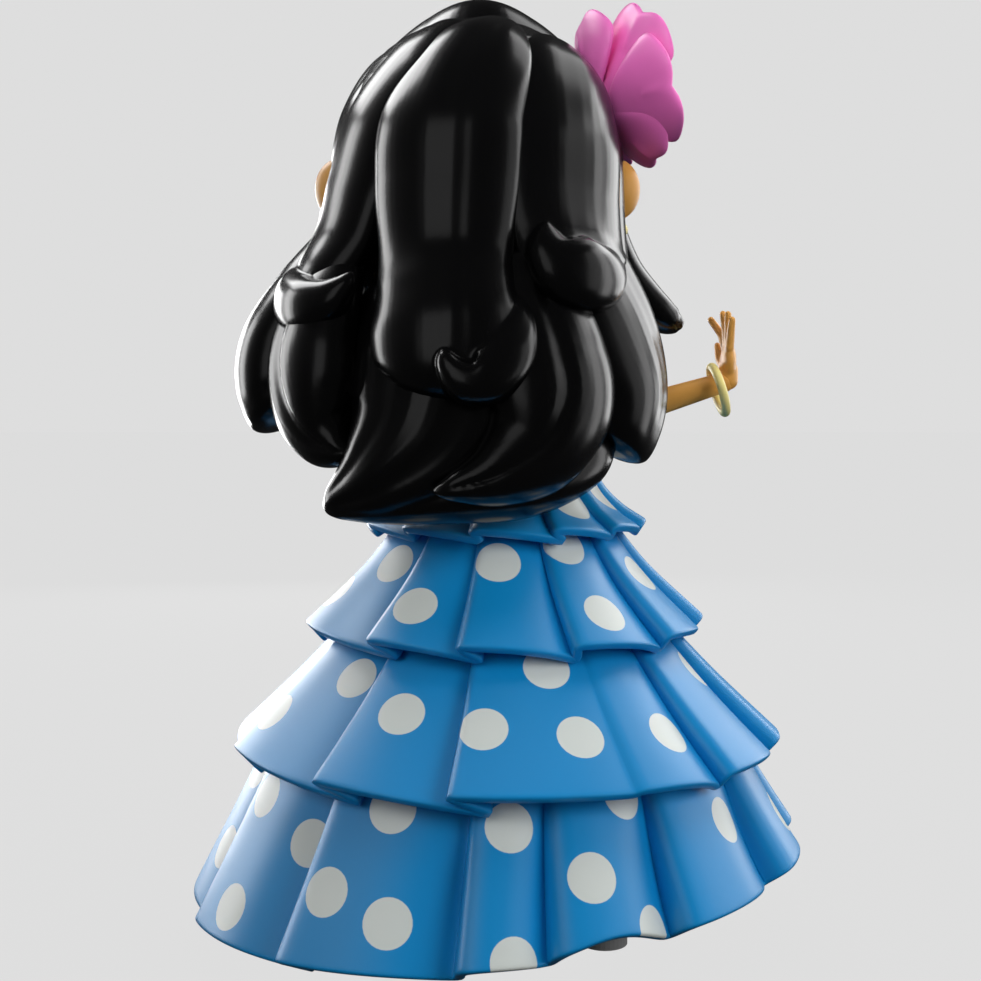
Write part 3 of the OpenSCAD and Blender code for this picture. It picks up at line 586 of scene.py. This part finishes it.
def petal(spin, reach, half_width, cup, curl, base=1.5):
    """A notched, puffy petal. spin is its turn round the flower's axis from straight up
    towards the back; cup is how steeply it rises; curl bends its tip over."""
    rings, spokes = 16, 56
    rho = np.sin(np.linspace(0, np.pi / 2, rings))[1:]
    theta = np.linspace(0, 2 * np.pi, spokes, endpoint=False)
    tip = np.exp(-((theta + np.pi) % (2 * np.pi) - np.pi) ** 2 / 0.09)
    edge = 1 - 0.2 * tip + 0.05 * np.cos(3 * theta)
    along = (reach - base) / 2 * (1 + rho[:, None] * edge * np.cos(theta)) + base
    narrow = 0.45 + 0.55 * smooth(along / reach, 0.05, 0.65)
    across = half_width * narrow * rho[:, None] * edge * np.sin(theta)
    thick = PETAL_T / 2 * (1 - rho ** 4)[:, None] ** 0.5 * np.ones_like(across)
    share = along / reach
    groove = 0.35 * np.exp(-(across / 0.8) ** 2) * smooth(share, 0.35, 0.8)
    rise = math.tan(math.radians(cup)) * along - curl * share ** 3
    rise = rise + 0.05 * across ** 2 * (1 - 0.6 * share)
    sides = [np.stack([across, along, rise + thick - groove], axis=-1),
             np.stack([across, along, rise - thick - groove], axis=-1)]
    middle = np.array([[0, (reach + base) / 2, math.tan(math.radians(cup)) * (reach + base) / 2
                        - curl / 8 + side * PETAL_T / 2] for side in (1, -1)])
    count = (rings - 2) * spokes
    rim = sides[0][-1]
    points = np.vstack([sides[0][:-1].reshape(-1, 3), sides[1][:-1].reshape(-1, 3), rim, middle])
    top = grid_faces(rings - 2, spokes, closed_cols=True)
    bottom = [face[::-1] for face in grid_faces(rings - 2, spokes, closed_cols=True, start=count)]
    faces = top + bottom
    for j in range(spokes):
        k = (j + 1) % spokes
        last = count - spokes
        faces.append([last + j, last + k, 2 * count + k, 2 * count + j])
        faces.append([count + last + k, count + last + j, 2 * count + j, 2 * count + k])
        faces.append([2 * count + spokes, k, j])
        faces.append([2 * count + spokes + 1, count + j, count + k])
    a = math.radians(spin)
    out = math.cos(a) * FLOWER_UP + math.sin(a) * FLOWER_NEAR
    flank = np.cross(out, FLOWER_AXIS)
    turned = (points[:, :1] * flank + points[:, 1:2] * out + points[:, 2:] * FLOWER_AXIS)
    return turned + FLOWER_C, faces


peg_low, peg_high = box_mm("flower_peg")
FLOWER_AXIS = unit([-0.86, -0.35, 0.37])
FLOWER_C = (peg_low + peg_high) / 2 + FLOWER_AXIS + np.array([-0.2, 0, -2.6])
FLOWER_UP = unit(np.array([0, 0, 1]) - FLOWER_AXIS[2] * FLOWER_AXIS)
FLOWER_NEAR = np.cross(FLOWER_UP, FLOWER_AXIS)
if FLOWER_NEAR[1] < 0:
    FLOWER_NEAR = -FLOWER_NEAR
PETAL_T = 2.2

outer = [petal(-20, 15, 7.4, 18, 0), petal(32, 13.6, 8.2, 40, 2.4), petal(96, 13.2, 8.6, 32, 2),
         petal(164, 11.8, 6.8, 28, 1), petal(250, 13, 8, 22, 1)]
inner = [petal(turn, reach, 4, 52, 1.5, 0.5)
         for turn, reach in ((0, 8), (72, 7.5), (144, 7.5), (216, 8), (288, 8.4))]
make_piece("petals_outer", *join_parts(outer), PETAL, "head", "petals", ["flower_outer"])
make_piece("petals_inner", *join_parts(inner), PETAL, "head", "petals", ["flower_inner"])

# ---- Head and face ---------------------------------------------------------------------


def head_radius(z):
    """Radius of the bare head at a height."""
    z = np.asarray(z, float)
    half = np.where(z < CHEEK_Z, CHEEK_Z - CHIN_Z, CROWN_Z - CHEEK_Z)
    share = np.clip(np.abs(z - CHEEK_Z) / half, 0, 1)
    return HEAD_R * (1 - share ** HEAD_POWER) ** (1 / HEAD_POWER)


def ball(centre, radii, rings=20, spokes=32):
    """A closed ellipsoid."""
    up = np.linspace(-np.pi / 2, np.pi / 2, rings + 2)[1:-1]
    turn = np.linspace(0, 2 * np.pi, spokes, endpoint=False)
    shape = np.stack([np.cos(up)[:, None] * np.cos(turn), np.cos(up)[:, None] * np.sin(turn),
                      np.sin(up)[:, None] * np.ones(spokes)], axis=-1)
    points = np.vstack([shape.reshape(-1, 3), [[0, 0, -1]], [[0, 0, 1]]])
    points = points * np.asarray(radii, float) + np.asarray(centre, float)
    return points, capped(rings, spokes)


def limb(start, end, start_r, end_r, rings=10, spokes=24):
    """A closed rod with round ends."""
    start, end = np.asarray(start, float), np.asarray(end, float)
    way = unit(end - start)
    side = unit(np.cross(way, [0.3, 0.9, 0.2]))
    other = np.cross(way, side)
    turn = np.linspace(0, 2 * np.pi, spokes, endpoint=False)
    circle = np.cos(turn)[:, None] * side + np.sin(turn)[:, None] * other
    rows = []
    for a in np.linspace(-np.pi / 2, 0, rings)[1:]:
        rows.append(start + start_r * (math.sin(a) * way + math.cos(a) * circle))
    for a in np.linspace(0, np.pi / 2, rings)[:-1]:
        rows.append(end + end_r * (math.sin(a) * way + math.cos(a) * circle))
    points = np.vstack(rows + [[start - start_r * way], [end + end_r * way]])
    return points, capped(len(rows), spokes)


def loft(sections, spokes=64, count=40):
    """A closed body through level ovals, each as (height, middle x, middle y, half x, half y)."""
    rows = np.asarray(sections, float)
    line = spline(rows[:, [1, 2, 0, 3, 4]], count)
    turn = np.linspace(0, 2 * np.pi, spokes, endpoint=False)
    x = line[:, 0:1] + line[:, 3:4] * np.cos(turn)
    y = line[:, 1:2] + line[:, 4:5] * np.sin(turn)
    z = line[:, 2:3] * np.ones(spokes)
    points = np.stack([x, y, z], axis=-1)
    ends = np.array([points[0].mean(axis=0), points[-1].mean(axis=0)])
    return np.vstack([points.reshape(-1, 3), ends]), capped(count, spokes)


def on_face(across, z, lift):
    """A point on the face: distance round it from the middle towards the dancer's left."""
    angle = across / HEAD_R
    r = head_radius(z) + lift
    return np.stack([HEAD_X + r * np.sin(angle), HEAD_Y - r * np.cos(angle), z], axis=-1)


def face_patch(name, middle, half, dome, material, slot, lean=0.0, shape=None, sink=0.5):
    """A low closed dome on the face. shape bends its outline: it takes and returns offsets."""
    rings, spokes = 9, 48
    rho = np.linspace(0, 1, rings)[1:, None]
    theta = np.linspace(0, 2 * np.pi, spokes, endpoint=False)[None, :]
    u, v = rho * np.cos(theta) * half[0], rho * np.sin(theta) * half[1]
    if shape:
        u, v = shape(u, v)
    a = math.radians(lean)
    u, v = u * math.cos(a) - v * math.sin(a), u * math.sin(a) + v * math.cos(a)
    height = dome * np.sqrt(np.clip(1.02 - rho ** 2, 0, 1)) * np.ones_like(theta)
    front = on_face(middle[0] + u, middle[1] + v, height)
    back = on_face(middle[0] + u, middle[1] + v, -sink * np.ones_like(height))
    shell = np.concatenate([front, back[::-1]]).reshape(-1, 3)
    ends = np.array([on_face(np.array(middle[0]), np.array(middle[1]), dome),
                     on_face(np.array(middle[0]), np.array(middle[1]), -sink)])
    rows = 2 * (rings - 1)
    make_piece(name, np.vstack([shell, ends]), capped(rows, spokes), material, "head", slot)


def egg(rows=61, spokes=96):
    """The bare head, closed, with its rows closer together near the chin and the crown."""
    turn = np.linspace(0, 2 * np.pi, spokes, endpoint=False)
    points = []
    for share in np.linspace(-1, 1, rows)[1:-1]:
        a = share * np.pi / 2
        half = CHEEK_Z - CHIN_Z if a < 0 else CROWN_Z - CHEEK_Z
        z = CHEEK_Z + math.copysign(abs(math.sin(a)) ** (2 / HEAD_POWER), a) * half
        r = float(head_radius(z))
        points += [(HEAD_X + r * math.cos(t), HEAD_Y + r * math.sin(t), z) for t in turn]
    points += [(HEAD_X, HEAD_Y, CHIN_Z), (HEAD_X, HEAD_Y, CROWN_Z)]
    return np.array(points), capped(rows - 2, spokes)


EAR_Z, EAR_REACH = 113.8, 21.4
NOSE_Z = 103.4
nose = ball((HEAD_X, HEAD_Y - HEAD_R - 0.1, NOSE_Z), (1.5, 1.5, 1.2))
ears = [ball((HEAD_X + side * EAR_REACH, 0.5, EAR_Z), (3.9, 2.6, 4.8)) for side in (-1, 1)]
fuse("head_skin", [egg(), nose] + ears, 0.4, 4, SKIN, "head", ["head_shell"])

EYE_X, EYE_Z = 8.6, 110.5
LASH_HALF, BROW_HALF = 4.1, 3.6
MOUTH_Z = 98.2


def arch(rise, half):
    """A bend for face_patch: the middle of the outline goes up by rise, and half away stays."""
    return lambda u, v: (u, v + rise * (1 - (u / half) ** 2))


def eye(side, label):
    """An eye with its lash, brow and glint, a painted highlight. side is -1 on the dancer's right
    and 1 on the left.
    """
    x = side * EYE_X
    gaze = (x - side * 0.2, EYE_Z - 0.1)
    over = x + side * 0.2
    face_patch("eye_white_" + label, (x, EYE_Z), (3.3, 3.7), 0.35, EYE_WHITE_AND_GLINT, "skin")
    face_patch("iris_" + label, gaze, (2.5, 3.1), 0.5, IRIS, "skin")
    face_patch("pupil_" + label, gaze, (1.4, 1.9), 0.6, PUPIL, "skin")
    # The glint is a painted highlight: a small white dome on the iris that stands for a reflection
    # of the light
    face_patch("glint_" + label, (x - 0.9, EYE_Z + 1.3), (0.7, 0.8), 0.66, EYE_WHITE_AND_GLINT, "skin")
    face_patch("lash_" + label, (over, EYE_Z + 1.9), (LASH_HALF, 0.55), 0.75, PUPIL, "hair",
               lean=side * -6, shape=arch(1.98, LASH_HALF))
    face_patch("brow_" + label, (over, EYE_Z + 7.2), (BROW_HALF, 0.5), 0.45, PUPIL, "hair",
               lean=side * -5, shape=arch(0.8, BROW_HALF))


eye(-1, "right")
eye(1, "left")
face_patch("lip_upper", (0, MOUTH_Z + 0.35), (2.7, 0.55), 0.5, LIP, "skin",
           shape=lambda u, v: (u, v + 0.084 * u ** 2 - 0.2 * np.exp(-(u / 0.6) ** 2)))
face_patch("lip_lower", (0, MOUTH_Z - 0.55), (2.1, 0.7), 0.6, LIP, "skin",
           shape=lambda u, v: (u, v + 0.1 * u ** 2))

# ---- Chest, arms, hands and shoes --------------------------------------------------------

bust_low, bust_high = box_mm("bust")
NECK_TOP = bust_high[2]
fuse("torso", [
    loft([(bust_low[2], 1, 0, 7.6, 7.4), (72, 1.6, -0.5, 8.4, 8), (75, 2.4, -0.9, 9, 7.6),
          (78, 2.8, -0.3, 9.3, 5.4), (80.4, 2.8, 0, 8.6, 4.2), (82, 3.1, 0, 6.6, 3.8),
          (83.2, 3.8, 0, 4.6, 3.8)]),
    loft([(78, HEAD_X, 0, 4.2, 4.2), (80, HEAD_X, 0, 4.2, 4.2), (84, HEAD_X, 0, 4.1, 4.1),
          (NECK_TOP, HEAD_X, 0, 4.2, 4.2)])], 0.35, 4, SKIN, "root", ["bust"])

RIGHT_PEG, RIGHT_SHOULDER, RIGHT_ELBOW = (-6.5, 0, 78.5), (-9.7, 0, 78.5), (-18, 0, 79)
RIGHT_WRIST, RIGHT_CUFF = (-32, 0, 83.3), (-34.3, 0, 84)
LEFT_PEG, LEFT_SHOULDER = (12, 0, 78.5), (15.3, 0, 78.5)
LEFT_ELBOW, LEFT_WRIST = (20, -2, 71.5), (13, -18, 74.5)
PEG_R = 1.4
fuse("arm_skin_right", [
    limb(RIGHT_PEG, RIGHT_SHOULDER, PEG_R, PEG_R), limb(RIGHT_SHOULDER, RIGHT_ELBOW, 2.5, 2.3),
    limb(RIGHT_ELBOW, RIGHT_WRIST, 2.3, 1.7), limb(RIGHT_WRIST, RIGHT_CUFF, 1.7, 1.6)],
    0.25, 4, SKIN, "right_arm", ["arm_right"])
fuse("arm_skin_left", [
    limb(LEFT_PEG, LEFT_SHOULDER, PEG_R, PEG_R), limb(LEFT_SHOULDER, LEFT_ELBOW, 2.5, 2.2),
    limb(LEFT_ELBOW, LEFT_WRIST, 2.2, 1.7)], 0.25, 4, SKIN, "left_arm", ["arm_left"])


# From the forefinger to the little finger
FINGER_LENGTHS = (4.6, 5.4, 5.2, 4.2)
FINGER_PITCH = 1.2
KNUCKLE_Z = 5


def hand(wrist, up, palm, bends):
    """A hand standing on a wrist: up is where its fingers point and palm is where its palm
    faces. bends is how far each finger's tip leans to the palm's side, from the thumb's side."""
    wrist = np.asarray(wrist, float)
    up, palm = unit(up), unit(palm)
    thumb_way = np.cross(palm, up)

    def at(x, y, z):
        return wrist + x * thumb_way + y * palm + z * up

    rows, faces = ball((0, 0, 0), (2.5, 1.2, 2.9))
    parts = [(at(0, 0, 3.1) + rows[:, :1] * thumb_way + rows[:, 1:2] * palm
              + rows[:, 2:] * up, faces),
             limb(at(0, 0, 0), at(0, 0, 1.6), 1.5, 1.5)]
    for i, (length, bend) in enumerate(zip(FINGER_LENGTHS, bends)):
        x = FINGER_PITCH * (1.5 - i)
        knuckle = at(x, 0.1, KNUCKLE_Z)
        middle = at(x * 1.2, 0.3 * bend, KNUCKLE_Z + length * 0.5)
        tip = at(x * 1.5, bend, KNUCKLE_Z + length)
        parts += [limb(knuckle, middle, 0.72, 0.66), limb(middle, tip, 0.66, 0.55)]
    parts += [limb(at(1.4, 0.2, 1.8), at(2.9, 0.9, 3.6), 0.85, 0.72),
              limb(at(2.9, 0.9, 3.6), at(3.5, 1.1, 5.6), 0.72, 0.55)]
    return parts


fuse("hand_skin_right", hand((-35, 0, 84.3), (0.02, 0, 1), (1, 0, 0), (2.2, 0.6, 0.1, -0.2)),
     0.2, 3, SKIN, "right_arm", ["hand_right"])
fuse("hand_skin_left", hand((12.2, -19, 74.7), (-0.75, -0.5, 0.35), (0.2, 0.2, -0.9),
                            (1.2, 0.8, 0.6, 0.4)), 0.2, 3, SKIN, "left_arm",
     ["hand_left"])

ANKLE_Z = 6.8


def shoe(label):
    """A rounded shoe with its ankle, placed by its CAD node's box."""
    low, high = box_mm("shoe_" + label)
    x, y = (low[0] + high[0]) / 2, (low[1] + high[1]) / 2
    sole_top = low[2]
    ankle_y = high[1] - 4.8
    fuse("shoe_skin_" + label, [
        ball((x, low[1] + 6.5, sole_top + 1.6), (4.3, 6.5, 3.2)),
        ball((x, y + 1, sole_top + 1.8), (3.9, 9, 3)),
        ball((x, high[1] - 4.6, sole_top + 2.6), (3.8, 4.6, 4.6)),
        limb((x, ankle_y, sole_top + 2), (x, ankle_y, ANKLE_Z), 3.9, 3.9)],
        0.35, 5, SHOE, "root", ["shoe_" + label])


shoe("right")
shoe("left")

# ---- CAD pieces that stay: better materials ----------------------------------------------

KEEP = {
    HAIR: ["hair_cap"],
    DRESS_PLAIN: ["skirt_core", "base_plug", "bodice"],
    SKIN: ["leg_right", "leg_left"],
    PETAL: ["flower_peg"],
    TRINKET: ["bangle", "flower_centre", "earring_right", "earring_left"],
    SOLE: ["sole_right", "sole_left"],
    PIN: ["neck_pin"],
    BUSH: ["neck_bush"],
}
for material, names in KEEP.items():
    for name in names:
        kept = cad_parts[name]
        kept.data.materials.clear()
        kept.data.materials.append(material)

# ---- Stage: floor, lights and camera ------------------------------------------------------


# The floor's half width is in metres. It glows, so that no shadow shows on it
FLOOR_HALF = 20.0
FLOOR_GREY = 0.014
FLOOR_GLOW = 0.722
BACKDROP_GREY = 0.73
AMBIENT = 0.06
CAMERA_PLACE = (2.28, 214, 77)
CAMERA_PITCH = 2.67


def floor():
    """A pale paper floor that lights nothing and doesn't show in the gloss."""
    size = FLOOR_HALF
    mesh = bpy.data.meshes.new("floor")
    mesh.from_pydata([(-size, -size, 0), (size, -size, 0), (size, size, 0), (-size, size, 0)],
                     [], [(0, 1, 2, 3)])
    piece = bpy.data.objects.new("floor", mesh)
    bpy.context.collection.objects.link(piece)
    paper = bpy.data.materials.new("studio_paper")
    paper.use_nodes = True
    shader = paper.node_tree.nodes["Principled BSDF"]
    shader.inputs["Base Color"].default_value = (FLOOR_GREY, FLOOR_GREY, FLOOR_GREY, 1)
    shader.inputs["Roughness"].default_value = 1.0
    shader.inputs["Specular IOR Level"].default_value = 0.0
    shader.inputs["Emission Color"].default_value = (1, 1, 1, 1)
    shader.inputs["Emission Strength"].default_value = FLOOR_GLOW
    piece.visible_diffuse = False
    piece.visible_glossy = False
    mesh.materials.append(paper)


def area_light(name, place, aim, size, power, diffuse=True, glossy=True, spread=180):
    """A soft light at a place, aimed at a point, both in millimetres. Without diffuse it makes
    highlights only, and without glossy it brightens a surface but doesn't show in its gloss."""
    data = bpy.data.lights.new(name, "AREA")
    data.shape = "RECTANGLE"
    data.size, data.size_y = size[0] * MM, size[1] * MM
    data.energy = power
    data.spread = math.radians(spread)
    lamp = bpy.data.objects.new(name, data)
    lamp.location = Vector(place) * MM
    lamp.rotation_euler = (Vector(aim) - Vector(place)).to_track_quat("-Z", "Y").to_euler()
    lamp.visible_diffuse = diffuse
    lamp.visible_glossy = glossy
    bpy.context.collection.objects.link(lamp)


floor()
area_light("rim_left", (257, -306, 100), (0, 0, 95), (220, 230), 1.4, diffuse=False)
area_light("side_left", (400, -110, 150), (0, 0, 80), (160, 320), 1.0, diffuse=False)
area_light("high_left", (240, -150, 400), (0, 0, 50), (220, 220), 1.2, diffuse=False)
area_light("side_right", (-410, -20, 150), (0, 0, 60), (150, 460), 0.55, diffuse=False)
area_light("soft_right", (-390, 160, 150), (0, 0, 60), (160, 400), 0.12, diffuse=False)
area_light("rim_right", (-320, -240, 190), (0, 0, 60), (220, 380), 1.0, diffuse=False)
area_light("high_right", (-250, -130, 390), (0, 0, 60), (260, 260), 0.38)
area_light("top_softbox", (-40, 60, 500), (0, 0, 60), (240, 240), 0.5, glossy=False)
area_light("fill_right", (-320, 260, 200), (0, 0, 70), (260, 260), 0.95, glossy=False)
area_light("fill_left", (300, 260, 240), (0, 0, 70), (260, 260), 0.55, glossy=False)
area_light("fill_front", (60, -420, 200), (0, 0, 80), (300, 300), 2.0, glossy=False)
area_light("back_fill", (160, 420, 200), (0, 0, 70), (200, 320), 0.1)
area_light("flower_fill", (20, 110, 165), (-28, 0, 133), (30, 30), 0.005, glossy=False,
           spread=60)


def studio_world():
    """The camera sees a pale backdrop, and the object gets a dim, even light."""
    world = bpy.data.worlds.new("studio")
    bpy.context.scene.world = world
    world.use_nodes = True
    air = world.node_tree
    backdrop = air.nodes["Background"]
    backdrop.inputs["Color"].default_value = (BACKDROP_GREY, BACKDROP_GREY, BACKDROP_GREY, 1)
    backdrop.inputs["Strength"].default_value = 1.0
    dim = node(air, "ShaderNodeBackground", Color=(0.5, 0.5, 0.5, 1), Strength=AMBIENT)
    ray = node(air, "ShaderNodeLightPath")
    mix = node(air, "ShaderNodeMixShader")
    air.links.new(ray.outputs["Is Camera Ray"], mix.inputs["Fac"])
    air.links.new(dim.outputs["Background"], mix.inputs[1])
    air.links.new(backdrop.outputs["Background"], mix.inputs[2])
    air.links.new(mix.outputs["Shader"], air.nodes["World Output"].inputs["Surface"])


def studio_camera():
    """A camera behind the figure, looking level and slightly down at it."""
    lens = bpy.data.cameras.new("camera")
    lens.lens = 50
    lens.sensor_width = 36
    lens.clip_start = 0.01
    camera = bpy.data.objects.new("camera", lens)
    camera.location = Vector(CAMERA_PLACE) * MM
    camera.rotation_euler = (math.radians(90 - CAMERA_PITCH), 0, math.radians(180))
    bpy.context.collection.objects.link(camera)
    bpy.context.scene.camera = camera


studio_world()
studio_camera()
bpy.context.scene.view_settings.view_transform = "Standard"
